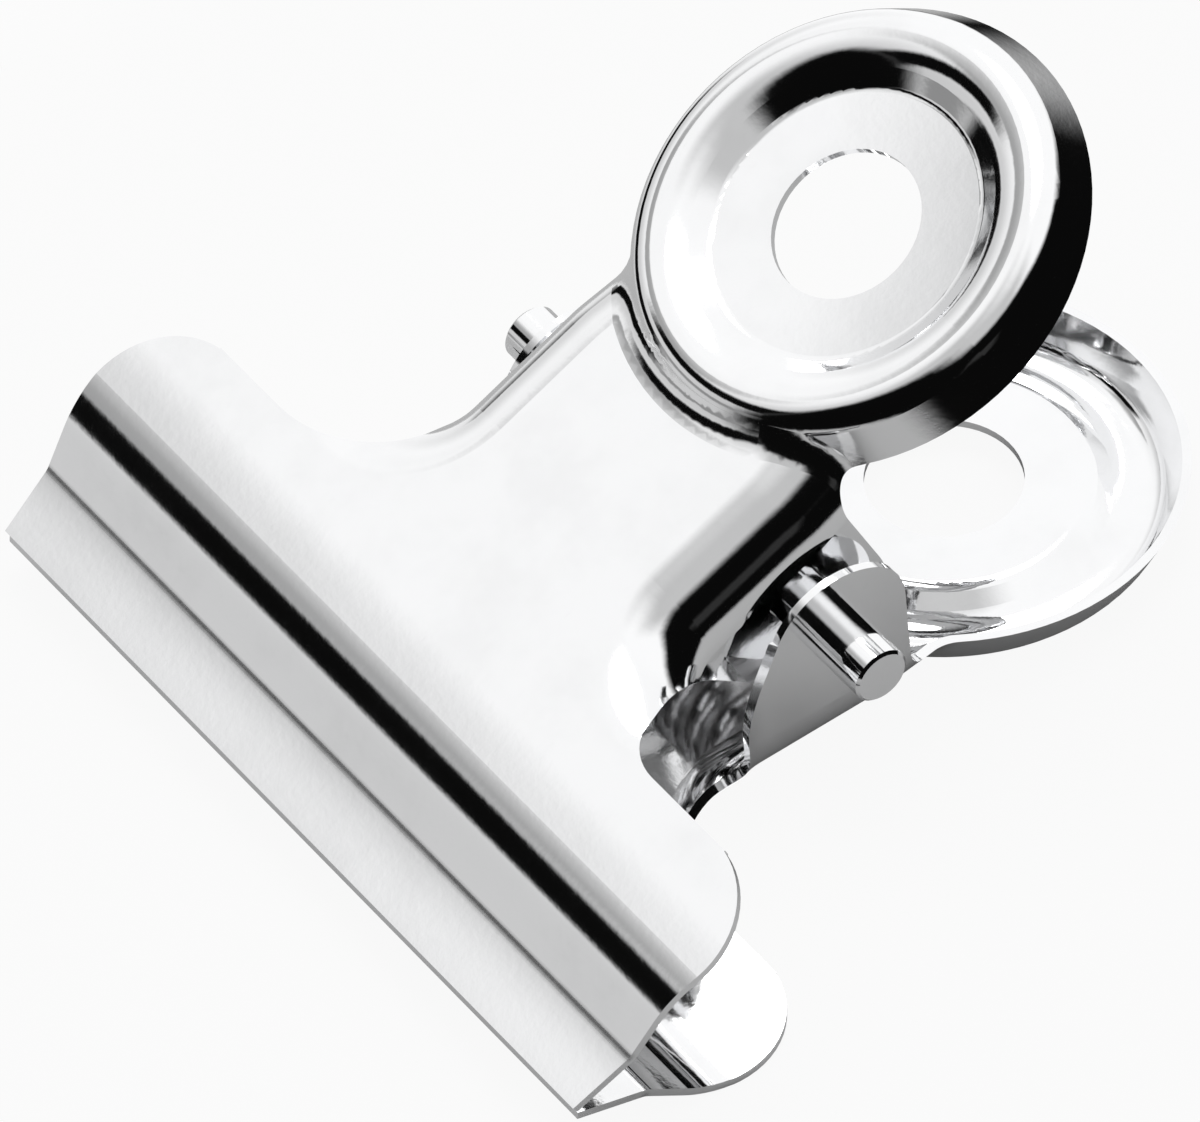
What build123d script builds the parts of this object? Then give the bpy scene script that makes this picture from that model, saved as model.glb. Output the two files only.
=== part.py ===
"""Round-handled spring clip.

Two pressed sheet plates are hinged on one pin. Each is a jaw, a neck with two turned-down ears and a
dished round handle. A coiled wire spring on the pin holds the jaws shut. The clip lies on its rear plate,
with the jaws towards -Y and the handles towards +Y, and its origin is under the middle of its box.
"""

import os
from math import acos, asin, atan2, ceil, cos, hypot, pi, radians, sin, tan

from build123d import *

# Sizes are in millimetres and degrees. A plate's angles are from the clip's middle plane.
# Points (v, w) of its profile lie v up the middle plane from the lips and w out of that plane.
# Points (x, s, n) of its neck lie x across, s up the panel from the bend and n out of the panel.

# Sheet
sheet = 0.45  # thickness of both plates

# Jaw, in profile
jaw_gap = 0.1  # left between the closed lips
lip_length = 3.75
lip_angle = 20.0
crease_radius = 0.9  # outer face, between lip and flare
flare_length = 4.05
flare_angle = 42.0
bend_radius = 6.0  # outer face, between flare and panel
panel_angle = 11.3

# Jaw, square to the panel
tip_width = 49.2
shoulder_width = 53.2  # over the corners, before they are rounded
shoulder_height = 7.0  # from the bend to the shoulders' top edges
shoulder_radius = 5.0

# Neck and ears
neck_length = 21.8  # from the bend to the line where the handle starts to tilt further out
ear_span = 20.0  # over the front plate's ears
ear_gap = 1.15  # from a front ear to the rear ear outside it
fold_radius = 4.0  # outer face, between panel and ear
foot_sweep = 7.0  # plan radius of the fold where it runs out into the shoulder
foot_reach = 13.2  # from the middle to the bottom of the +x notch, between shoulder and ear
foot_radius = 1.6
deep_reach = 10.8  # the same for the -x notch, which bites deeper and crosses the fold squarely
deep_radius = 4.0
cross_height = 5.8  # of that crossing, from the shoulder's top edge
cross_radius = 1.8
ear_radius = 4.2
ear_lean = 27.0  # of the ear's lower edge, from square to the panel
ear_fillet = 4.0
waist_inset = 0.7  # how far each side of the neck draws in towards the handle
waist_radius = 12.0
waist_fillet = 2.5  # between ear and handle rim

# Handle
handle_angle = 14.2
handle_reach = 11.6  # from the end of the neck to the hole's centre
hole_diameter = 8.2
recess_diameter = 14.8
recess_fillet = 0.6
ring_height = 1.2
ring_slope = 34.0
crest_share = 0.4846534  # of the room on the ring's top, taken by the bend before its crest
crest_flat = 0.05
rim_slope = 65.0
rim_diameter = 25.2  # over the free edge
rim_depth = 1.7  # free edge below the recess
skirt_drop = 1.0  # below the free edge, where the forming block's wall turns upright
skirt_radius = 3.0
valley_share = 0.046808511  # of rim and neck together: radius of the outer face between them

# Pin
pin_distance = 26.74  # from the lips, up the middle plane
pin_diameter = 3.1
pin_length = 30.2
pin_chamfer = 0.15
pin_clearance = 0.05  # radial, in the front ears; the rear ears hold the pin tight

# Spring
wire_diameter = 1.2
coil_diameter = 5.4  # at the middle of the wire
coil_pitch = 1.75
coil_turns = 4  # whole turns; the legs add a part turn
leg_reach = 9.0  # from the pin to the legs' ends, up the panel
leg_clearance = 0.15
gap_samples = 48  # points on each turn where the spring's gap to itself is measured


def step(start, length, angle):
    """Point at a length and angle from a profile point."""
    return start[0] + length * cos(radians(angle)), start[1] + length * sin(radians(angle))


# Profile of a plate's outer face
tip = (0.0, jaw_gap / 2 + sheet * cos(radians(lip_angle)))
crease = step(tip, lip_length, lip_angle)
bend = step(crease, flare_length, flare_angle)
neck_end = step(bend, neck_length, panel_angle)
hole_centre = step(neck_end, handle_reach, handle_angle)
kick = handle_angle - panel_angle

# Ring of the handle: a slope out of the recess, a crest, and a roll over into the rim
slope_run = tan(radians(ring_slope / 2))
slope_top = recess_diameter / 2 + ring_height / tan(radians(ring_slope))
rim_run = tan(radians(rim_slope / 2))
rim_top = rim_diameter / 2 - (ring_height + rim_depth) / tan(radians(rim_slope))
ring_room = rim_top - slope_top - crest_flat
crest_radius = crest_share * ring_room / slope_run
crest_end = slope_top + crest_radius * slope_run + crest_flat
roll_radius = (rim_top - crest_end) / rim_run
rim_low = rim_depth + skirt_drop
valley_radius = valley_share * (rim_diameter + neck_length)

# Pin seen from the panel: s and n of its axis
pin_out = pin_distance - bend[0]
pin_s = pin_out * cos(radians(panel_angle)) - bend[1] * sin(radians(panel_angle))
pin_n = -pin_out * sin(radians(panel_angle)) - bend[1] * cos(radians(panel_angle))
block_depth = ear_radius - pin_n + sheet

# Rest on the floor: a line that touches the rear plate's bend and the neck side of its ring
bend_tangent = bend_radius * tan(radians(flare_angle - panel_angle) / 2)
bend_centre = step(step(bend, bend_tangent, panel_angle), bend_radius, panel_angle - 90)
roll_height = ring_height - roll_radius
near_roll = step(step(hole_centre, -crest_end, handle_angle), roll_height, handle_angle + 90)
far_edge = step(step(hole_centre, rim_diameter / 2, handle_angle), -rim_depth, handle_angle + 90)
rest_run = near_roll[0] - bend_centre[0]
rest_rise = near_roll[1] - bend_centre[1]
rest = atan2(rest_rise, rest_run) - asin((bend_radius - roll_radius) / hypot(rest_run, rest_rise))
floor_drop = bend_radius - bend_centre[0] * sin(rest) + bend_centre[1] * cos(rest)
back_end = far_edge[0] * cos(rest) + far_edge[1] * sin(rest)
front_end = -tip[1] * sin(rest)

# Middle plane of the clip, with X across, Y up from the lips and Z towards the front plate
clip_origin = (0, -(back_end + front_end) / 2, floor_drop)
front_side = Plane(clip_origin, x_dir=(1, 0, 0), z_dir=(0, -sin(rest), cos(rest)))
rear_side = Plane(clip_origin, x_dir=(-1, 0, 0), z_dir=(0, sin(rest), -cos(rest)))


def face_plane(side, point, angle):
    """Plane on a plate's outer face at a profile point: Y up the plate, Z out of it."""
    out_of_face = side.z_dir * cos(radians(angle)) - side.y_dir * sin(radians(angle))
    return Plane(side.from_local_coords(Vector(0, *point)), x_dir=side.x_dir, z_dir=out_of_face)


def profile_plane(plane):
    """Plane across the clip, with the given plane's Y and Z as its X and Y."""
    return Plane(plane.origin, x_dir=plane.y_dir, z_dir=plane.x_dir)


def make_jaw(side):
    """Lip, flare and shoulders: the bent strip, trimmed to its outline."""
    panel = face_plane(side, bend, panel_angle)
    low = panel.to_local_coords(side.from_local_coords(Vector(0, *tip))).Y
    corner = (shoulder_width / 2, shoulder_height)
    with BuildPart() as jaw:
        with BuildSketch(profile_plane(side)):
            with BuildLine():
                panel_end = step(bend, shoulder_height + sheet, panel_angle)
                FilletPolyline(tip, crease, bend, panel_end, radius=[crease_radius, bend_radius])
                offset(amount=sheet, side=Side.RIGHT)
            make_face()
        extrude(amount=shoulder_width / 2, both=True)
        with BuildSketch(panel) as outline:
            with BuildLine():
                Polyline((0, low), (tip_width / 2, low), corner, (0, shoulder_height))
                mirror(about=Plane.YZ)
            make_face()
            fillet(outline.vertices().group_by(Axis.Y)[-1], shoulder_radius)
        extrude(amount=shoulder_width, both=True, mode=Mode.INTERSECT)
    return jaw.part


def forming_block(panel, ear_half, inset):
    """Solid that fills the neck and handle up to the plate's outer face, or to inset below it."""
    side_x = ear_half - inset
    foot_x = ear_half - fold_radius + foot_sweep
    sweep_s = shoulder_height + foot_sweep
    foot_s = shoulder_height + fold_radius - inset
    run_x = shoulder_width / 2 - shoulder_radius + inset
    run_s = shoulder_height / 2 - inset
    draw_s = pin_s + ear_radius / 2
    top_s = neck_length + handle_reach / 2
    depth = block_depth + inset
    handle = face_plane(panel, (neck_length, 0), kick).offset(-inset)
    handle.origin = handle.from_local_coords(Vector(0, handle_reach, 0))
    corner_shift = inset * slope_run

    def on_fold(edge):
        place = panel.to_local_coords(edge.center())
        return abs(place.X) > side_x / 2 and place.Y > shoulder_height + fold_radius / 2

    def in_valley(edge):
        place = panel.to_local_coords(edge.center())
        curved = edge.geom_type not in (GeomType.CIRCLE, GeomType.LINE)
        return curved and place.Y < top_s and place.Z > sheet - block_depth

    with BuildPart() as block:
        with BuildSketch(panel.offset(-inset)):
            with BuildLine():
                Polyline((0, run_s), (run_x, run_s), (run_x, foot_s), (foot_x, foot_s))
                CenterArc((foot_x, sweep_s), foot_x - side_x, 180, 90)
                neck_side = (side_x, sweep_s), (side_x, draw_s), (side_x - waist_inset, top_s)
                FilletPolyline(*neck_side, radius=waist_radius)
                Line((side_x - waist_inset, top_s), (0, top_s))
                mirror(about=Plane.YZ)
            make_face()
        extrude(amount=-depth)
        top_face = block.faces().sort_by(Axis(panel.origin, panel.z_dir))[-1]
        fillet(top_face.edges().filter_by(on_fold), fold_radius - inset)
        with BuildSketch(Plane(handle.origin, x_dir=handle.x_dir, z_dir=-handle.y_dir)):
            with BuildLine():
                recess_corner = (recess_diameter / 2 + corner_shift, 0)
                crest_corner = (slope_top + corner_shift, ring_height)
                rim_corner = (rim_top - inset * rim_run, ring_height)
                rim_fall = ring_height + rim_low - inset
                rim_foot = (rim_corner[0] + rim_fall / tan(radians(rim_slope)), inset - rim_low)
                skirt = (rim_foot[0], -depth)
                ring = (0, 0), recess_corner, crest_corner, rim_corner, rim_foot, skirt
                outer_bends = [radius - inset for radius in (crest_radius, roll_radius, skirt_radius)]
                FilletPolyline(*ring, radius=[recess_fillet + inset, *outer_bends])
                Polyline(skirt, (0, -depth), (0, 0))
            make_face()
        revolve(axis=Axis(handle.origin, handle.z_dir))
        fillet(block.edges(Select.NEW).filter_by(in_valley), valley_radius + inset)
    return block.part


def make_plate(side, ear_half, pin_fit):
    """One pressed plate: neck, ears and handle as a shell over the forming block, and the jaw."""
    panel = face_plane(side, bend, panel_angle)
    handle = face_plane(side, hole_centre, handle_angle)
    shell_outside = forming_block(panel, ear_half, 0)
    shell_inside = forming_block(panel, ear_half, sheet)
    jaw = make_jaw(side)

    lean_s = cos(radians(ear_lean))
    lean_n = sin(radians(ear_lean))
    lean_end = (pin_s - ear_radius * lean_s, pin_n - ear_radius * lean_n)
    ear_top = pin_s + ear_radius
    hole_local = panel.to_local_coords(handle.origin)
    edge_slope = tan(radians(kick))
    edge_n = hole_local.Z - rim_depth / cos(radians(kick))
    far_s = neck_length + handle_reach + rim_diameter
    deep = -2 * block_depth

    # The edge from shoulder to ear is drawn as seen square to the middle of the fold
    notch_far = (shoulder_width / 2 - deep) * sin(radians(45))
    notch_end = (lean_end[0], (ear_half - lean_end[1]) * sin(radians(45)))
    notch_slope = tan(radians(ear_lean)) / sin(radians(45))
    notch_low = foot_reach * sin(radians(45))
    notch_start = notch_end[0] - (notch_end[1] - notch_low) * notch_slope
    notch = (shoulder_height, notch_low), (notch_start, notch_low)
    notch_radii = [foot_radius, ear_fillet]
    deep_low = deep_reach * sin(radians(45))
    cross_s = shoulder_height + cross_height
    cross_end = notch_end[1] - (notch_end[0] - cross_s) / notch_slope
    deep_notch = (shoulder_height, deep_low), (cross_s, deep_low), (cross_s, cross_end)
    deep_radii = [deep_radius, cross_radius, cross_radius]

    with BuildPart() as plate:
        add(shell_outside)
        add(shell_inside, mode=Mode.SUBTRACT)
        for across, corners, radii in ((1, notch, notch_radii), (-1, deep_notch, deep_radii)):
            down_fold = panel.x_dir * across - panel.z_dir
            with BuildSketch(Plane(panel.origin, x_dir=panel.y_dir, z_dir=panel.y_dir.cross(down_fold))):
                with BuildLine():
                    FilletPolyline((shoulder_height, notch_far), *corners, notch_end, radius=radii)
                    Polyline(notch_end, (notch_end[0], notch_far), (shoulder_height, notch_far))
                make_face()
            extrude(amount=2 * shoulder_width, both=True, mode=Mode.SUBTRACT)
        with BuildSketch(profile_plane(panel)):
            with BuildLine():
                Line((-far_s, lean_end[1]), lean_end)
                CenterArc((pin_s, pin_n), ear_radius, 180 + ear_lean, 180 - ear_lean)
                waist = (ear_top, edge_n + (ear_top - hole_local.Y) * edge_slope)
                edge_end = (far_s, edge_n + (far_s - hole_local.Y) * edge_slope)
                FilletPolyline((ear_top, pin_n), waist, edge_end, radius=waist_fillet)
                Polyline(edge_end, (far_s, deep), (-far_s, deep), (-far_s, lean_end[1]))
            make_face()
        extrude(amount=shoulder_width, both=True, mode=Mode.SUBTRACT)
        with BuildSketch(handle):
            Circle(hole_diameter / 2)
        extrude(amount=block_depth, both=True, mode=Mode.SUBTRACT)
        with BuildSketch(profile_plane(panel)):
            with Locations((pin_s, pin_n)):
                Circle(pin_fit / 2)
        extrude(amount=shoulder_width, both=True, mode=Mode.SUBTRACT)
        add(jaw)
    return plate


def make_pin():
    """Plain straight pin across the clip."""
    axis_point = front_side.from_local_coords(Vector(0, pin_distance, 0))
    with BuildPart() as pin:
        with BuildSketch(Plane(axis_point, x_dir=(0, 1, 0), z_dir=(1, 0, 0))):
            Circle(pin_diameter / 2)
        extrude(amount=pin_length / 2, both=True)
        chamfer(pin.edges().filter_by(GeomType.CIRCLE), pin_chamfer)
    return pin


def spring_stations():
    """Points and directions along the coil, every half turn or less, and the ends of its legs.

    Each leg leaves the coil on a tangent and ends just inside the handle's recess.
    """
    coil_radius = coil_diameter / 2
    face_n = (pin_s + leg_reach - neck_length) * tan(radians(kick)) - sheet
    room = face_n - wire_diameter / 2 - leg_clearance - pin_n
    lean = acos(coil_radius / hypot(room, leg_reach)) - atan2(leg_reach, room)
    leg_length = (leg_reach + coil_radius * sin(lean)) / cos(lean)
    leg_angle = lean + radians(panel_angle)
    first = pi / 2 + leg_angle
    sweep_angle = pi - 2 * leg_angle + 2 * pi * coil_turns
    rise = -coil_pitch / (2 * pi)
    count = ceil(sweep_angle / pi)

    def coil_point(turned):
        around = first + turned
        across = rise * (turned - sweep_angle / 2)
        return Vector(across, pin_distance + coil_radius * cos(around), coil_radius * sin(around))

    def coil_direction(turned):
        around = first + turned
        return Vector(rise, -coil_radius * sin(around), coil_radius * cos(around)) / coil_radius

    turns = [sweep_angle * i / count for i in range(count + 1)]
    points = [coil_point(turned) for turned in turns]
    directions = [coil_direction(turned) for turned in turns]
    leg_ends = points[0] - directions[0] * leg_length, points[-1] + directions[-1] * leg_length
    place = front_side.from_local_coords
    origin = place(Vector(0, 0, 0))
    points = [place(point) for point in points]
    directions = [(place(direction) - origin).normalized() for direction in directions]
    return points, directions, [place(end) for end in leg_ends]


def biarc_joint(start, start_way, end, end_way):
    """Point where two arcs meet that join two points in their given directions, and the way there."""
    chord = end - start
    ways = start_way + end_way
    spread = 2 * (1 - start_way.dot(end_way))
    along = chord.dot(ways)
    reach = ((along**2 + spread * chord.dot(chord)) ** 0.5 - along) / spread
    start_arm = start + start_way * reach
    end_arm = end - end_way * reach
    return (start_arm + end_arm) / 2, (end_arm - start_arm).normalized()


def make_spring():
    """Coiled wire with two straight legs: one unbroken round wire."""
    points, directions, leg_ends = spring_stations()
    with BuildPart() as spring:
        with BuildLine() as path:
            Line(leg_ends[0], points[0])
            for i in range(len(points) - 1):
                joint, joint_way = biarc_joint(points[i], directions[i], points[i + 1], directions[i + 1])
                TangentArc(points[i], joint, tangent=directions[i])
                TangentArc(joint, points[i + 1], tangent=joint_way)
            Line(points[-1], leg_ends[1])
        with BuildSketch(Plane(path.line @ 0, z_dir=path.line % 0)):
            Circle(wire_diameter / 2)
        sweep()
    return spring, path.wire()


def least_gap(path):
    """Least clear distance between stretches of the wire that are half a turn or more apart."""
    turn_length = pi * coil_diameter
    count = int(path.length / turn_length * gap_samples)
    points = [path.position_at(i / count) for i in range(count + 1)]
    apart = gap_samples // 2
    pairs = [(a, b) for a in range(count + 1) for b in range(a + apart, count + 1)]
    return min((points[a] - points[b]).length for a, b in pairs) - wire_diameter


front_plate = make_plate(front_side, ear_span / 2, pin_diameter + 2 * pin_clearance)
rear_plate = make_plate(rear_side, ear_span / 2 + ear_gap + sheet, pin_diameter)
hinge_pin = make_pin()
spring, spring_path = make_spring()
print(f"least gap between turns of the spring: {least_gap(spring_path):.2f} mm")

os.makedirs("parts", exist_ok=True)
pieces = {"front_plate": front_plate, "rear_plate": rear_plate, "hinge_pin": hinge_pin, "spring": spring}
for name, piece in pieces.items():
    piece.part.label = name
    export_step(piece.part, f"parts/{name}.step")
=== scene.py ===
import math

import bpy
import numpy as np
from bpy.props import FloatProperty, FloatVectorProperty, IntProperty, PointerProperty
from mathutils import Matrix


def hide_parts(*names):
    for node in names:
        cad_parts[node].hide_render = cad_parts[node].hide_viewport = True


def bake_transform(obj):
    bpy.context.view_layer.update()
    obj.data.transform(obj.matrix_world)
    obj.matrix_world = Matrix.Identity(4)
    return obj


bl_info = {
    "name": "Round-handled spring clip",
    "version": (1, 0, 0),
    "blender": (4, 5, 0),
    "location": "View3D > Sidebar > Clip",
    "description": "Chrome plating, the wound spring and a small studio for the packed spring clip",
    "category": "Object",
}

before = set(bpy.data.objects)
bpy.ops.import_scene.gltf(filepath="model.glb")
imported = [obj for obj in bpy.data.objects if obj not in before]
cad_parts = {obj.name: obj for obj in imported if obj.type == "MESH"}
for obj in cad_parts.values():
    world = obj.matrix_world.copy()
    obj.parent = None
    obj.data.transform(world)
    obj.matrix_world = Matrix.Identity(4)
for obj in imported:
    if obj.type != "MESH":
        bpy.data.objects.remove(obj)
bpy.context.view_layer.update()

MM = 0.001

# The clip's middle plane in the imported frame: its origin between the lips and its tilt on the floor
CLIP_ORIGIN = np.array((0.0, -26.639770, 2.581342)) * MM
CLIP_TILT = 0.255744756

# Corners of a plate's outer face: up the middle plane from the lips and out of that plane
LIP_EDGE = (0.0, 0.47286 * MM)
LIP_ANGLE = math.radians(20.0)
CREASE = (3.52385 * MM, 1.75545 * MM)
BEND = (6.53359 * MM, 4.46542 * MM)
PANEL_ANGLE = math.radians(11.3)
HOLE = (39.15661 * MM, 11.58255 * MM)
HANDLE_ANGLE = math.radians(14.2)
RECESS_RADIUS = 7.4 * MM

# Begin and end of the panel's curve beside the bend and of the lip's bow, along each face
SPRING_BACK_REACH = (-1.0 * MM, 4.6 * MM)
LIP_BOW_REACH = (-3.2 * MM, 5.0 * MM)
# The crease's mask dulls the plating and also darkens its colour with painted shade.
CREASE_CORE = 0.1  # of the crease's width: fully dull

# Noise at which rubbed patches and hair scratches begin and are full, and what they do to the plating
RUB_RANGE = (0.42, 0.72)
RUB_ROUGHNESS = 0.030
RUB_SHARE = 0.6
SCRATCH_RANGE = (0.62, 0.80)
SCRATCH_ROUGHNESS = 0.05
SCRATCH_SHARE = 0.4
HAIR_TURN = (0.3, 0.2, 0.9)
HAIR_SCALE = (9000.0, 700.0, 2500.0)
HAIR_HEIGHT = 0.06  # of the ripple's height
WORN_TINT = 0.93
# Painted shade in each crease: the tint it darkens the plating to, its least share and its mottle by the ripple.
CREASE_SHADE_TINT = 0.42
CREASE_SHADE_LEAST = 0.45
CREASE_SHADE_MOTTLE = 0.5

# The spring wire's drawn lines along and round the wire, and its darker shade
LINE_SCALE = (14.0, 60.0, 1.0)
LINE_SHARE = 0.4
MOTTLE_SCALE = 1200.0
MOTTLE_SHARE = 0.5
WIRE_SHADE = (0.72, 0.71, 0.70)
WIRE_ROUGHNESS = 0.20
LINE_ROUGHNESS = 0.16

# Steps of the wound wire, and its rounded ends as shares of the thickness and of the rounding
TURN_STEPS = 64
LEG_STEPS = 12
END_ROUNDING = 0.12
END_MIDDLE = 0.3

# The floor's grain, and where it begins to fade as a share of its radius
GRAIN_SCALE = 900.0
FADE_START = 0.62

# Light tent. A patch has the azimuths over which it comes in and goes out again, then the elevations, in
# degrees, and the name of its brightness. The walls are laid on first, then the opening, then the details.
NADIR = (-92, -91)
ZENITH = (91, 92)
FIRST_AZIMUTH = -120.0
WALLS = (
    ((-100, -60, -35, 5), (*NADIR, 34, 50), "tent_soft"),
    ((-125, -75, -25, 25), (*NADIR, 6, 30), "tent_low"),
    ((-50, -5, 75, 115), (*NADIR, 60, 84), "tent_grey"),
)
DETAILS = (
    ((75, 81, 92, 98), (1.5, 6.5, 11.5, 16.5), "strip_level"),
    ((-54, -46, -14, -6), (12, 16, 28, 34), "tent_dark"),
    ((-100, -90, -49, -39), (-14.5, -11.5, 0, 3), "tent_dark"),
    ((-49, -39, -15, -5), (-8, -4, 0, 3), "band_level"),
)

# Dark opening in the tent: where its side comes in, its top edge by azimuth and elevation, and that edge's softness
OPENING_SIDE = (-22, -8)
OPENING_EDGE = (
    (-120, 25), (-30, 32), (-15, 42), (0, 49), (15, 52), (30, 51), (45, 45), (60, 41), (75, 45), (90, 48),
    (105, 49), (120, 44), (135, 39), (150, 34), (165, 28), (180, 19), (195, 8), (210, -4), (225, -16), (240, -30))
OPENING_SOFTNESS = (-7, 6)

# Patch beside the slit, and the most brightness it may have, by elevation in degrees
SHADE_PATCH = ((-72, -64, -44, -36), (28, 32, *ZENITH))
PANEL_SHADE = ((30, 0.36), (36, 0.40), (41, 0.56), (44, 0.79), (46, 0.94), (47.5, 1.02), (90, 1.02))

# Soft lamp overhead
LAMP_SIZE = 0.35
LAMP_PLACE = (-0.15, 0.10, 0.5)
LAMP_TURN = (-0.2, -0.3, 0.0)

# Camera of the photograph: place, axes and lens
CAMERA_PLACE = (0.5534352, -0.3887971, 0.7147242)
CAMERA_RIGHT = (0.58535088, 0.81051363, -0.02078477)
CAMERA_DOWN = (0.57868981, -0.43560893, -0.68946572)
CAMERA_FORWARD = (-0.56787539, 0.39155143, -0.72402004)
CAMERA_LENS = 583.8944
CAMERA_SENSOR = 36.0


class Value:
    """A node's output socket. Arithmetic on it adds Math nodes to its tree."""

    def __init__(self, tree, socket):
        self.tree = tree
        self.socket = socket

    def math(self, operation, *others):
        return self.tree.add("ShaderNodeMath", {"operation": operation}, self, *others).value()

    def __add__(self, other):
        return self.math("ADD", other)

    def __sub__(self, other):
        return self.math("SUBTRACT", other)

    def __mul__(self, other):
        return self.math("MULTIPLY", other)

    def __truediv__(self, other):
        return self.math("DIVIDE", other)

    def __rsub__(self, other):
        return self.tree.add("ShaderNodeMath", {"operation": "SUBTRACT"}, other, self).value()

    def __neg__(self):
        return self.math("MULTIPLY", -1.0)

    __radd__ = __add__
    __rmul__ = __mul__

    def step(self, low, high):
        """0 below low, 1 above high, and smooth between them."""
        settings = {"interpolation_type": "SMOOTHSTEP"}
        inputs = {"Value": self, "From Min": low, "From Max": high}
        return self.tree.add("ShaderNodeMapRange", settings, **inputs).value("Result")

    def window(self, begin, full, fade, end):
        """0 up to begin, 1 from full to fade, 0 from end on, and smooth between them."""
        return self.step(begin, full) * (1 - self.step(fade, end))

    def curve(self, stops):
        """Straight lines through stops, each of them a number and what it becomes."""
        places, results = zip(*stops)
        first, last = places[0], places[-1]
        low, high = min(results), max(results)
        shares = [((place - first) / (last - first), (result - low) / (high - low)) for place, result in stops]
        share = self.tree.add("ShaderNodeValToRGB", {"stops": shares}, (self - first) / (last - first))
        return share.value() * (high - low) + low


class Made:
    """A node that was added, whose outputs are taken by name."""

    def __init__(self, tree, node):
        self.tree = tree
        self.node = node

    def value(self, name=None):
        return Value(self.tree, self.node.outputs[name] if name else self.node.outputs[0])


class Tree:
    """The node tree of a material or a world, emptied and ready for new nodes."""

    def __init__(self, owner):
        owner.use_nodes = True
        self.nodes = owner.node_tree.nodes
        self.links = owner.node_tree.links
        self.nodes.clear()

    def add(self, kind, settings=None, *values, **named):
        """Adds a node: its settings first, then values or links for its sockets by order or name."""
        node = self.nodes.new(kind)
        for key, setting in (settings or {}).items():
            if key == "stops":
                fill_ramp(node.color_ramp.elements, setting)
            else:
                setattr(node, key, setting)
        pairs = list(zip(node.inputs, values))
        pairs += [(node.inputs[name], given) for name, given in named.items()]
        for socket, given in pairs:
            if isinstance(given, Value):
                self.links.new(given.socket, socket)
            else:
                socket.default_value = given
        return Made(self, node)


def fill_ramp(elements, stops):
    """Gives a ramp its grey stops, each of them a place and a brightness from 0 to 1."""
    elements.remove(elements[-1])
    elements[0].position = stops[0][0]
    marks = [elements[0]] + [elements.new(stop[0]) for stop in stops[1:]]
    for mark, stop in zip(marks, stops):
        mark.color = (*[stop[1]] * 3, 1)


def towards(level, other, share):
    """A number, drawn to another one by a share from 0 to 1."""
    return level + (other - level) * share


def tinted(colour, tint):
    """An opaque colour, multiplied by a tint."""
    return (*(np.array(colour) * tint), 1)


class ClipFinish(bpy.types.PropertyGroup):
    """Plating of the plates and the pin, and the drawn wire of the spring."""

    chrome_colour: FloatVectorProperty(
        name="Chrome", description="Colour that the plating reflects",
        subtype="COLOR", size=3, min=0, max=1, default=(0.915, 0.918, 0.925))
    chrome_roughness: FloatProperty(
        name="Roughness", description="Roughness of clean plating",
        subtype="FACTOR", min=0, max=1, default=0.055)
    ripple_size: FloatProperty(
        name="Ripple size", description="Width of the plating's fine ripple",
        subtype="DISTANCE", unit="LENGTH", default=0.42 * MM)
    ripple_height: FloatProperty(
        name="Ripple height", description="Height of the plating's fine ripple",
        subtype="DISTANCE", unit="LENGTH", default=0.0020 * MM)
    rub_size: FloatProperty(
        name="Rub size", description="Width of the patches that hands have dulled",
        subtype="DISTANCE", unit="LENGTH", default=7.0 * MM)
    # The crease's reach also bounds the painted shade in it.
    crease_width: FloatProperty(
        name="Crease width", description="Reach of the dull line along each plate's crease",
        subtype="DISTANCE", unit="LENGTH", default=0.40 * MM)
    crease_dullness: FloatProperty(
        name="Crease dullness", description="Roughness that the crease adds to clean plating",
        subtype="FACTOR", min=0, max=1, default=0.22)
    spring_back: FloatProperty(
        name="Spring-back", description="How far the panel falls away beside the bend",
        subtype="DISTANCE", unit="LENGTH", default=0.23 * MM)
    lip_bow: FloatProperty(
        name="Lip bow", description="How far each lip bows towards its crease",
        subtype="DISTANCE", unit="LENGTH", default=0.57 * MM)
    recess_dip: FloatProperty(
        name="Recess dip", description="How far the middle of each handle's recess lies below its edge",
        subtype="DISTANCE", unit="LENGTH", default=0.13 * MM)
    wire_colour: FloatVectorProperty(
        name="Wire", description="Colour that the spring wire reflects",
        subtype="COLOR", size=3, min=0, max=1, default=(0.62, 0.62, 0.63))


class SpringSizes(bpy.types.PropertyGroup):
    """The wound spring on the pin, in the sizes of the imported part."""

    wire_diameter: FloatProperty(
        name="Wire", description="Thickness of the wire",
        subtype="DISTANCE", unit="LENGTH", default=1.2 * MM)
    coil_diameter: FloatProperty(
        name="Coil", description="Width of the coil, at the middle of the wire",
        subtype="DISTANCE", unit="LENGTH", default=5.4 * MM)
    coil_pitch: FloatProperty(
        name="Pitch", description="Distance from one turn to the next",
        subtype="DISTANCE", unit="LENGTH", default=1.75 * MM)
    coil_turns: IntProperty(
        name="Turns", description="Whole turns; the legs add a part turn", default=4, min=1)
    pin_distance: FloatProperty(
        name="Pin distance", description="From the lips to the pin, up the middle plane",
        subtype="DISTANCE", unit="LENGTH", default=26.74 * MM)
    leg_angle: FloatProperty(
        name="Leg angle", description="Angle of each leg from the middle plane",
        subtype="ANGLE", unit="ROTATION", default=math.radians(37.55216))
    leg_length: FloatProperty(
        name="Leg length", description="Length of each straight leg",
        subtype="DISTANCE", unit="LENGTH", default=11.36667 * MM)


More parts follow.
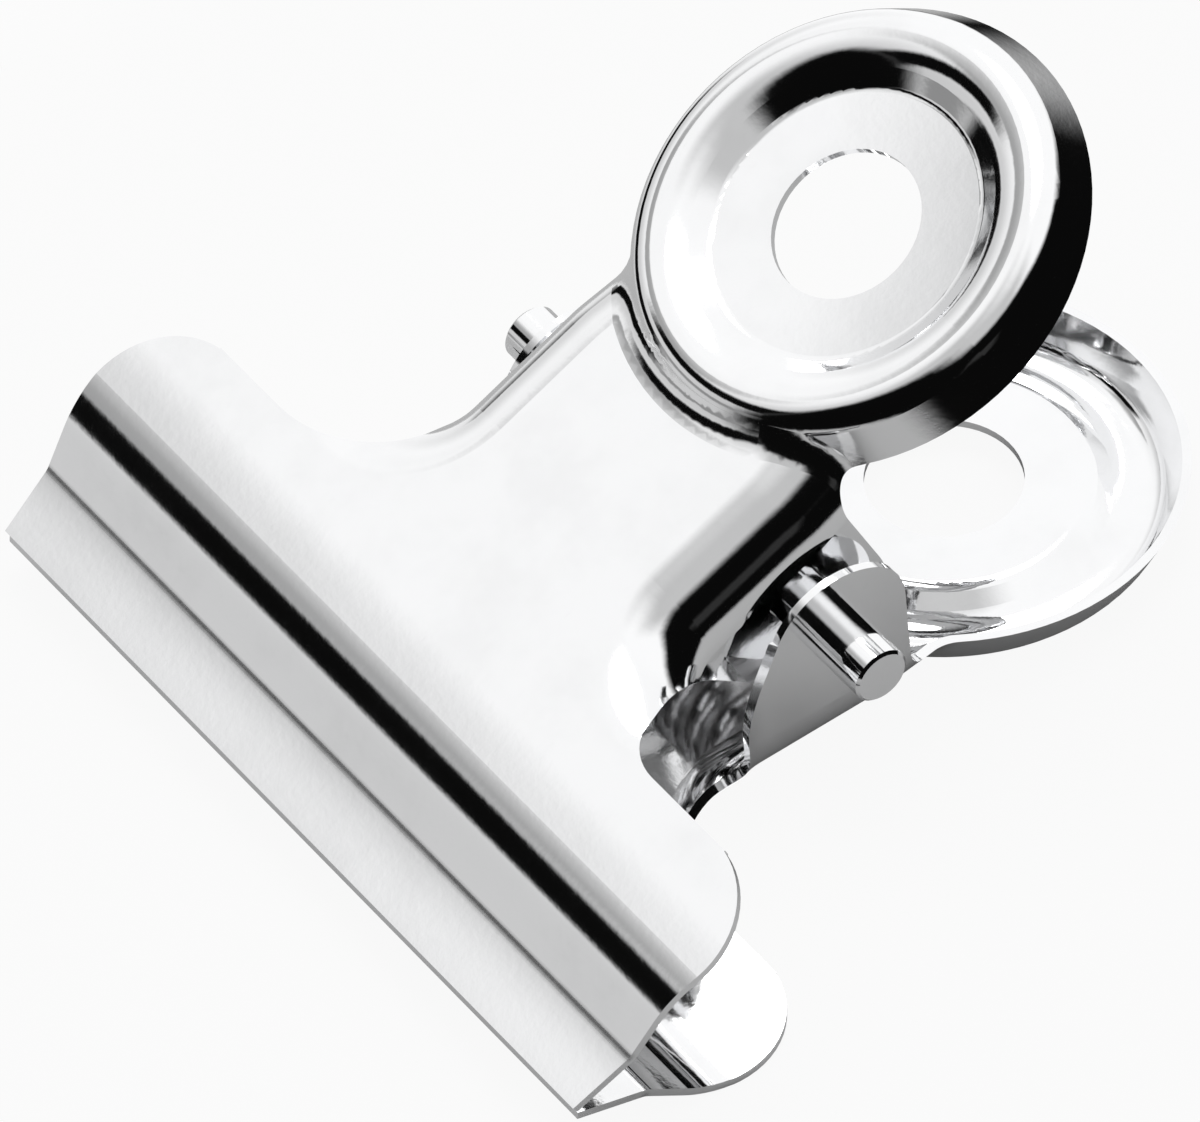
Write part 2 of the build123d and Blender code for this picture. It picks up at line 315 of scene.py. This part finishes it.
class StudioLook(bpy.types.PropertyGroup):
    """Floor and light of the small studio."""

    floor_colour: FloatVectorProperty(
        name="Floor", description="Colour of the pale floor",
        subtype="COLOR", size=3, min=0, max=1, default=(0.42, 0.42, 0.42))
    floor_radius: FloatProperty(
        name="Floor radius", description="Radius of the round floor",
        subtype="DISTANCE", unit="LENGTH", default=0.08)
    white_share: FloatProperty(
        name="White share", description="How far the floor is lifted to white in view; the rest keeps its shadow",
        subtype="FACTOR", min=0, max=1, default=0.93)
    mirror_share: FloatProperty(
        name="Mirrored share", description="How far the floor is lifted to white in the plating",
        subtype="FACTOR", min=0, max=1, default=0.04)
    tent_white: FloatProperty(
        name="Tent", description="Brightness of the white light tent", default=1.05, min=0)
    tent_soft: FloatProperty(
        name="Tent side", description="Brightness low on the tent's front left", default=0.94, min=0)
    tent_low: FloatProperty(
        name="Tent foot", description="Brightness near the horizon on the tent's front left",
        default=0.66, min=0)
    tent_grey: FloatProperty(
        name="Tent front", description="Brightness of the tent's shaded front", default=0.58, min=0)
    strip_level: FloatProperty(
        name="Strip", description="Brightness of the faint strip in the dark opening", default=0.03, min=0)
    band_level: FloatProperty(
        name="Low band", description="Brightness of the grey band at the horizon", default=0.28, min=0)
    tent_dark: FloatProperty(
        name="Opening", description="Brightness of the dark openings in the tent", default=0.003, min=0)
    lamp_power: FloatProperty(
        name="Lamp", description="Power of the soft lamp overhead",
        subtype="POWER", unit="POWER", default=1.2, min=0)


def plate_places(tree, place, finish):
    """Shares from 0 to 1 for a place on either plate: in the crease, past the bend, along the lip, out in the recess.

    The plates lie on both sides of the clip's middle plane, so the distance out of it has no sign here.
    """
    untilted = tree.add(
        "ShaderNodeMapping", {"vector_type": "TEXTURE"}, Vector=place,
        Location=tuple(CLIP_ORIGIN), Rotation=(CLIP_TILT, 0.0, 0.0))
    parts = tree.add("ShaderNodeSeparateXYZ", None, untilted.value())
    up = parts.value("Y")
    out = parts.value("Z").math("ABSOLUTE")

    def along(corner, angle):
        return (up - corner[0]) * math.cos(angle) + (out - corner[1]) * math.sin(angle)

    aside = up - CREASE[0]
    above = out - CREASE[1]
    away = (aside * aside + above * above).math("SQRT")
    # Crease mask, full at the crease's core and fading over its width: it dulls the plating and paints shade into its
    # colour.
    dull_and_shaded = 1 - away.step(CREASE_CORE * finish.crease_width, finish.crease_width)
    settled = along(BEND, PANEL_ANGLE).step(*SPRING_BACK_REACH)
    bowed = along(LIP_EDGE, LIP_ANGLE).step(*LIP_BOW_REACH)
    across = parts.value("X") / RECESS_RADIUS
    reach = along(HOLE, HANDLE_ANGLE) / RECESS_RADIUS
    dipped = (across * across + reach * reach).math("MINIMUM", 1.0)
    return dull_and_shaded, settled, bowed, dipped


def chrome(name, finish):
    """Bright plating on pressed sheet: a fine ripple, faint rubbed patches and hair scratches.

    Each plate's crease is dull, and painted shade darkens its colour. Its panel curves slightly beside the bend, its
    lip bows and its recess dips.
    """
    material = bpy.data.materials.new(name)
    tree = Tree(material)
    place = tree.add("ShaderNodeTexCoord").value("Object")
    ripple = tree.add(
        "ShaderNodeTexNoise", None, Vector=place, Scale=1 / finish.ripple_size, Detail=2.0, Roughness=0.55).value()
    rub = tree.add(
        "ShaderNodeTexNoise", None, Vector=place, Scale=1 / finish.rub_size, Detail=4.0, Roughness=0.6).value()
    stretched = tree.add("ShaderNodeMapping", None, Vector=place, Rotation=HAIR_TURN, Scale=HAIR_SCALE).value()
    hair = tree.add("ShaderNodeTexNoise", None, Vector=stretched, Scale=1.0, Detail=3.0, Roughness=0.6).value()
    worn = rub.step(*RUB_RANGE)
    scratched = hair.step(*SCRATCH_RANGE)
    dull_and_shaded, settled, bowed, dipped = plate_places(tree, place, finish)
    roughness = finish.chrome_roughness + worn * RUB_ROUGHNESS + scratched * SCRATCH_ROUGHNESS
    roughness = roughness + dull_and_shaded * finish.crease_dullness
    relief = (ripple + hair * HAIR_HEIGHT) * (finish.ripple_height / MM)
    relief = relief + settled * (finish.spring_back / MM) - bowed * (finish.lip_bow / MM)
    relief = relief + dipped * (finish.recess_dip / MM)
    bump = tree.add("ShaderNodeBump", None, Strength=1.0, Distance=MM, Height=relief)
    clean = finish.chrome_colour
    mixed = tree.add(
        "ShaderNodeMix", {"data_type": "RGBA"}, worn * RUB_SHARE + scratched * SCRATCH_SHARE,
        A=tinted(clean, 1), B=tinted(clean, WORN_TINT))
    # Painted shade: the crease's colour is darkened towards a dim tint, mottled by the ripple.
    crease_shaded = tree.add(
        "ShaderNodeMix", {"data_type": "RGBA"}, dull_and_shaded * (CREASE_SHADE_LEAST + CREASE_SHADE_MOTTLE * ripple),
        A=mixed.value("Result"), B=tinted(clean, CREASE_SHADE_TINT))
    surface = tree.add(
        "ShaderNodeBsdfPrincipled", None, Metallic=1.0, Roughness=roughness, Normal=bump.value(),
        **{"Base Color": crease_shaded.value("Result")})
    tree.add("ShaderNodeOutputMaterial", None, Surface=surface.value())
    return material


def drawn_wire(name, finish):
    """Drawn spring wire: fine lines along the wire, from its own map, over a slightly mottled steel."""
    material = bpy.data.materials.new(name)
    tree = Tree(material)
    along = tree.add("ShaderNodeUVMap", {"uv_map": "wire"}).value()
    lines = tree.add("ShaderNodeMapping", None, Vector=along, Scale=LINE_SCALE).value()
    drawn = tree.add("ShaderNodeTexNoise", None, Vector=lines, Scale=1.0, Detail=3.0).value()
    place = tree.add("ShaderNodeTexCoord").value("Object")
    mottle = tree.add("ShaderNodeTexNoise", None, Vector=place, Scale=MOTTLE_SCALE, Detail=3.0).value()
    light = finish.wire_colour
    mixed = tree.add(
        "ShaderNodeMix", {"data_type": "RGBA"}, mottle * MOTTLE_SHARE + drawn * LINE_SHARE,
        A=tinted(light, WIRE_SHADE), B=tinted(light, 1))
    bump = tree.add("ShaderNodeBump", None, Strength=0.6, Distance=0.01 * MM, Height=drawn)
    surface = tree.add(
        "ShaderNodeBsdfPrincipled", None, Metallic=1.0, Roughness=WIRE_ROUGHNESS + drawn * LINE_ROUGHNESS,
        Normal=bump.value(), **{"Base Color": mixed.value("Result")})
    tree.add("ShaderNodeOutputMaterial", None, Surface=surface.value())
    return material


def dress(node, material):
    """Gives a CAD node one material."""
    node.data.materials.clear()
    node.data.materials.append(material)


def in_frame(points):
    """Points (across, up the middle plane, out of it) turned by the clip's tilt into the frame."""
    across, up, out = points.T
    return np.stack((
        across,
        up * math.cos(CLIP_TILT) - out * math.sin(CLIP_TILT),
        up * math.sin(CLIP_TILT) + out * math.cos(CLIP_TILT)), axis=1)


def spring_path(sizes):
    """Middle of the wire: a straight leg, a helix round the pin and a second straight leg.

    The helix turns about X at the coil's radius and moves one pitch along X in each turn. Each leg leaves
    it on a tangent. Returns points, tangents and outward normals, which stay constant along a leg.
    """
    radius = sizes.coil_diameter / 2
    rise = -sizes.coil_pitch / (2 * math.pi)
    sweep = math.pi - 2 * sizes.leg_angle + 2 * math.pi * sizes.coil_turns
    turned = np.linspace(0, sweep, TURN_STEPS * sizes.coil_turns + TURN_STEPS // 2 + 1)
    along = np.linspace(0, 1, LEG_STEPS + 1)[:-1]
    before = (along - 1) * sizes.leg_length
    after = (1 - along[::-1]) * sizes.leg_length
    angle = np.concatenate((np.zeros(len(before)), turned, np.full(len(after), sweep)))
    straight = np.concatenate((before, np.zeros(len(turned)), after))
    around = math.pi / 2 + sizes.leg_angle + angle
    flat = np.zeros(len(around))
    helix = np.stack((
        rise * (angle - sweep / 2),
        sizes.pin_distance + radius * np.cos(around),
        radius * np.sin(around)), axis=1)
    tangent = np.stack((flat + rise, -radius * np.sin(around), radius * np.cos(around)), axis=1)
    normal = np.stack((flat, np.cos(around), np.sin(around)), axis=1)
    points = helix + tangent / radius * straight[:, None]
    tangent /= np.linalg.norm(tangent, axis=1)[:, None]
    return in_frame(points) + CLIP_ORIGIN, in_frame(tangent), in_frame(normal)


def wire_mesh(name, points, tangent, normal, thickness, sides=28):
    """A round tube: each point of the path carries a circle of the wire's radius, square to the tangent.

    The ends are rounded over by two smaller circles and closed by one point each.
    """
    lead = END_ROUNDING * thickness * np.array((0.0, END_MIDDLE, 1.0))
    ends = len(lead)
    repeat = np.ones(len(points), int)
    repeat[[0, -1]] = ends
    side = np.repeat(np.cross(tangent, normal), repeat, axis=0)
    normal = np.repeat(normal, repeat, axis=0)
    points = np.concatenate((
        points[:1] + tangent[:1] * lead[:, None], points[1:-1],
        points[-1:] - tangent[-1:] * lead[::-1, None]))
    rows = len(points)
    radius = np.full(rows, thickness / 2)
    radius[:ends] -= lead[::-1]
    radius[-ends:] -= lead
    round_angle = np.linspace(0, 2 * math.pi, sides, endpoint=False)
    ring = (normal[:, None] * np.cos(round_angle)[None, :, None]
            + side[:, None] * np.sin(round_angle)[None, :, None])
    grid = points[:, None] + ring * radius[:, None, None]
    corners = np.concatenate((grid.reshape(-1, 3), points[:1], points[-1:]))
    row, column = np.meshgrid(np.arange(rows - 1), np.arange(sides), indexing="ij")
    here = (row * sides + column).ravel()
    beside = (row * sides + (column + 1) % sides).ravel()
    walls = np.stack((here, beside, beside + sides, here + sides), axis=1)
    first = np.arange(sides)
    last = (rows - 1) * sides + first
    start_cap = np.stack(((first + 1) % sides, first, np.full(sides, rows * sides)), axis=1)
    end_cap = np.stack((last, np.roll(last, -1), np.full(sides, rows * sides + 1)), axis=1)
    mesh = bpy.data.meshes.new(name)
    mesh.from_pydata(corners.tolist(), [], walls.tolist() + start_cap.tolist() + end_cap.tolist())
    length = np.concatenate(((0,), np.cumsum(np.linalg.norm(np.diff(points, axis=0), axis=1)))) / thickness
    far = length[row]
    near = length[row + 1]
    left = column / sides
    right = (column + 1) / sides
    wall_map = np.stack((
        np.stack((far, left), -1), np.stack((far, right), -1),
        np.stack((near, right), -1), np.stack((near, left), -1)), axis=2).reshape(-1, 2)
    cap_map = np.zeros((start_cap.size + end_cap.size, 2))
    layer = mesh.uv_layers.new(name="wire")
    layer.data.foreach_set("uv", np.concatenate((wall_map, cap_map)).astype(np.float32).ravel())
    mesh.polygons.foreach_set("use_smooth", np.ones(len(mesh.polygons), bool))
    mesh.update()
    return mesh


def floor_finish(look):
    """Pale matt floor that fades out at its edge.

    In view, and less in the plating, it is lifted towards white. The rest keeps its shadow.
    """
    material = bpy.data.materials.new("pale_floor")
    tree = Tree(material)
    place = tree.add("ShaderNodeTexCoord").value("Object")
    grain = tree.add("ShaderNodeTexNoise", None, Vector=place, Scale=GRAIN_SCALE, Detail=3.0).value()
    bump = tree.add("ShaderNodeBump", None, Strength=0.2, Distance=0.02 * MM, Height=grain).value()
    matt = tree.add("ShaderNodeBsdfDiffuse", None, Color=tinted(look.floor_colour, 1), Normal=bump).value()
    glow = tree.add("ShaderNodeEmission", None, Strength=1.0).value()
    ray = tree.add("ShaderNodeLightPath")
    share = (ray.value("Is Camera Ray") + ray.value("Is Transmission Ray")) * look.white_share
    share = share + ray.value("Is Glossy Ray") * look.mirror_share
    lifted = tree.add("ShaderNodeMixShader", None, share, matt, glow).value()
    clear = tree.add("ShaderNodeBsdfTransparent").value()
    reach = tree.add("ShaderNodeVectorMath", {"operation": "LENGTH"}, place).value("Value")
    edge = reach.step(FADE_START * look.floor_radius, look.floor_radius)
    faded = tree.add("ShaderNodeMixShader", None, edge, lifted, clear).value()
    tree.add("ShaderNodeOutputMaterial", None, Surface=faded)
    return material


def light_tent(world, look):
    """White light tent with a shaded front and dark openings, laid out by direction round the clip.

    Azimuth is measured from -Y towards +X and elevation from the horizon, both in degrees.
    """
    tree = Tree(world)
    way = tree.add("ShaderNodeTexCoord").value("Generated")
    parts = tree.add("ShaderNodeSeparateXYZ", None, way)
    degrees = 180 / math.pi
    azimuth = parts.value("X").math("ARCTAN2", -parts.value("Y")) * degrees
    height = parts.value("Z").math("ARCSINE") * degrees
    turn = azimuth + 360 * azimuth.math("LESS_THAN", FIRST_AZIMUTH)

    def inside(azimuths, elevations):
        return turn.window(*azimuths) * height.window(*elevations)

    level = look.tent_white
    for azimuths, elevations, brightness in WALLS:
        level = towards(level, getattr(look, brightness), inside(azimuths, elevations))
    above = height - turn.curve(OPENING_EDGE)
    level = towards(level, look.tent_dark, turn.step(*OPENING_SIDE) * (1 - above.step(*OPENING_SOFTNESS)))
    for azimuths, elevations, brightness in DETAILS:
        level = towards(level, getattr(look, brightness), inside(azimuths, elevations))
    shade = level.math("MINIMUM", height.curve(PANEL_SHADE))
    level = towards(level, shade, inside(*SHADE_PATCH))
    ray = tree.add("ShaderNodeLightPath")
    seen = ray.value("Is Camera Ray") + ray.value("Is Transmission Ray")
    sky = tree.add("ShaderNodeBackground", None, Color=(1, 1, 1, 1), Strength=towards(level, 1.0, seen))
    tree.add("ShaderNodeOutputWorld", None, Surface=sky.value())


def disc_mesh(name, radius, rings=24, spokes=96):
    """Flat disc: points at a radius and an angle, closed by one point in the middle."""
    reach = radius * np.linspace(1 / rings, 1, rings)
    angle = np.linspace(0, 2 * math.pi, spokes, endpoint=False)
    flat = np.stack((
        np.outer(reach, np.cos(angle)), np.outer(reach, np.sin(angle)),
        np.zeros((rings, spokes))), axis=2).reshape(-1, 3)
    corners = np.concatenate((flat, np.zeros((1, 3))))
    row, column = np.meshgrid(np.arange(rings - 1), np.arange(spokes), indexing="ij")
    here = (row * spokes + column).ravel()
    beside = (row * spokes + (column + 1) % spokes).ravel()
    quads = np.stack((here, here + spokes, beside + spokes, beside), axis=1)
    middle = np.stack((
        np.arange(spokes), np.roll(np.arange(spokes), -1), np.full(spokes, rings * spokes)), axis=1)
    mesh = bpy.data.meshes.new(name)
    mesh.from_pydata(corners.tolist(), [], quads.tolist() + middle.tolist())
    mesh.update()
    return mesh


def add_object(name, data):
    """New object at the origin, linked to the scene."""
    made = bpy.data.objects.new(name, data)
    bpy.context.scene.collection.objects.link(made)
    return made


class CLIP_OT_plates(bpy.types.Operator):
    """Plate both pressed plates with chrome"""

    bl_idname = "clip.plates"
    bl_label = "Plate the plates"

    def execute(self, context):
        material = chrome("plate_chrome", context.scene.clip_finish)
        for name in ("front_plate", "rear_plate"):
            dress(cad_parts[name], material)
        return {"FINISHED"}


class CLIP_OT_pin(bpy.types.Operator):
    """Plate the hinge pin with chrome"""

    bl_idname = "clip.pin"
    bl_label = "Plate the pin"

    def execute(self, context):
        dress(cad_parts["hinge_pin"], chrome("pin_chrome", context.scene.clip_finish))
        return {"FINISHED"}


class CLIP_OT_spring(bpy.types.Operator):
    """Wind the spring on the pin, with one leg under each handle"""

    bl_idname = "clip.spring"
    bl_label = "Wind the spring"

    def execute(self, context):
        sizes = context.scene.clip_spring
        points, tangent, normal = spring_path(sizes)
        mesh = wire_mesh("wound_spring", points, tangent, normal, sizes.wire_diameter)
        mesh.materials.append(drawn_wire("spring_wire", context.scene.clip_finish))
        spring = add_object("wound_spring", mesh)
        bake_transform(spring)
        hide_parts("spring")
        return {"FINISHED"}


class CLIP_OT_studio(bpy.types.Operator):
    """Set up the floor, the light tent, the lamp and the camera"""

    bl_idname = "clip.studio"
    bl_label = "Set up the studio"

    def execute(self, context):
        look = context.scene.clip_studio
        floor = add_object("floor", disc_mesh("floor", look.floor_radius))
        floor.data.materials.append(floor_finish(look))
        world = bpy.data.worlds.new("light_tent")
        light_tent(world, look)
        context.scene.world = world
        lamp = bpy.data.lights.new("soft_lamp", "AREA")
        lamp.shape = "DISK"
        lamp.size = LAMP_SIZE
        lamp.energy = look.lamp_power
        soft = add_object("soft_lamp", lamp)
        soft.location = LAMP_PLACE
        soft.rotation_euler = LAMP_TURN
        lens = bpy.data.cameras.new("camera")
        lens.lens = CAMERA_LENS
        lens.sensor_width = CAMERA_SENSOR
        camera = add_object("camera", lens)
        axes = Matrix((CAMERA_RIGHT, CAMERA_DOWN, CAMERA_FORWARD)).transposed()
        axes = axes @ Matrix.Diagonal((1, -1, -1))
        camera.matrix_world = Matrix.Translation(CAMERA_PLACE) @ axes.to_4x4()
        context.scene.camera = camera
        context.scene.view_settings.view_transform = "Standard"
        return {"FINISHED"}


class CLIP_PT_sidebar(bpy.types.Panel):
    """The clip's steps, sizes and colours"""

    bl_idname = "CLIP_PT_sidebar"
    bl_label = "Spring clip"
    bl_space_type = "VIEW_3D"
    bl_region_type = "UI"
    bl_category = "Clip"

    def draw(self, context):
        for step in STEPS:
            self.layout.operator(step.bl_idname)
        for group in GROUPS:
            box = self.layout.box()
            owner = getattr(context.scene, group)
            for name in GROUPS[group].__annotations__:
                box.prop(owner, name)


STEPS = (CLIP_OT_plates, CLIP_OT_pin, CLIP_OT_spring, CLIP_OT_studio)
GROUPS = {"clip_finish": ClipFinish, "clip_spring": SpringSizes, "clip_studio": StudioLook}
CLASSES = (*GROUPS.values(), *STEPS, CLIP_PT_sidebar)


def register():
    for made in CLASSES:
        bpy.utils.register_class(made)
    for name, group in GROUPS.items():
        setattr(bpy.types.Scene, name, PointerProperty(type=group))


def unregister():
    for name in GROUPS:
        delattr(bpy.types.Scene, name)
    for made in reversed(CLASSES):
        bpy.utils.unregister_class(made)


def main():
    register()
    bpy.ops.clip.plates()
    bpy.ops.clip.pin()
    bpy.ops.clip.spring()
    bpy.ops.clip.studio()


if __name__ == "__main__":
    main()
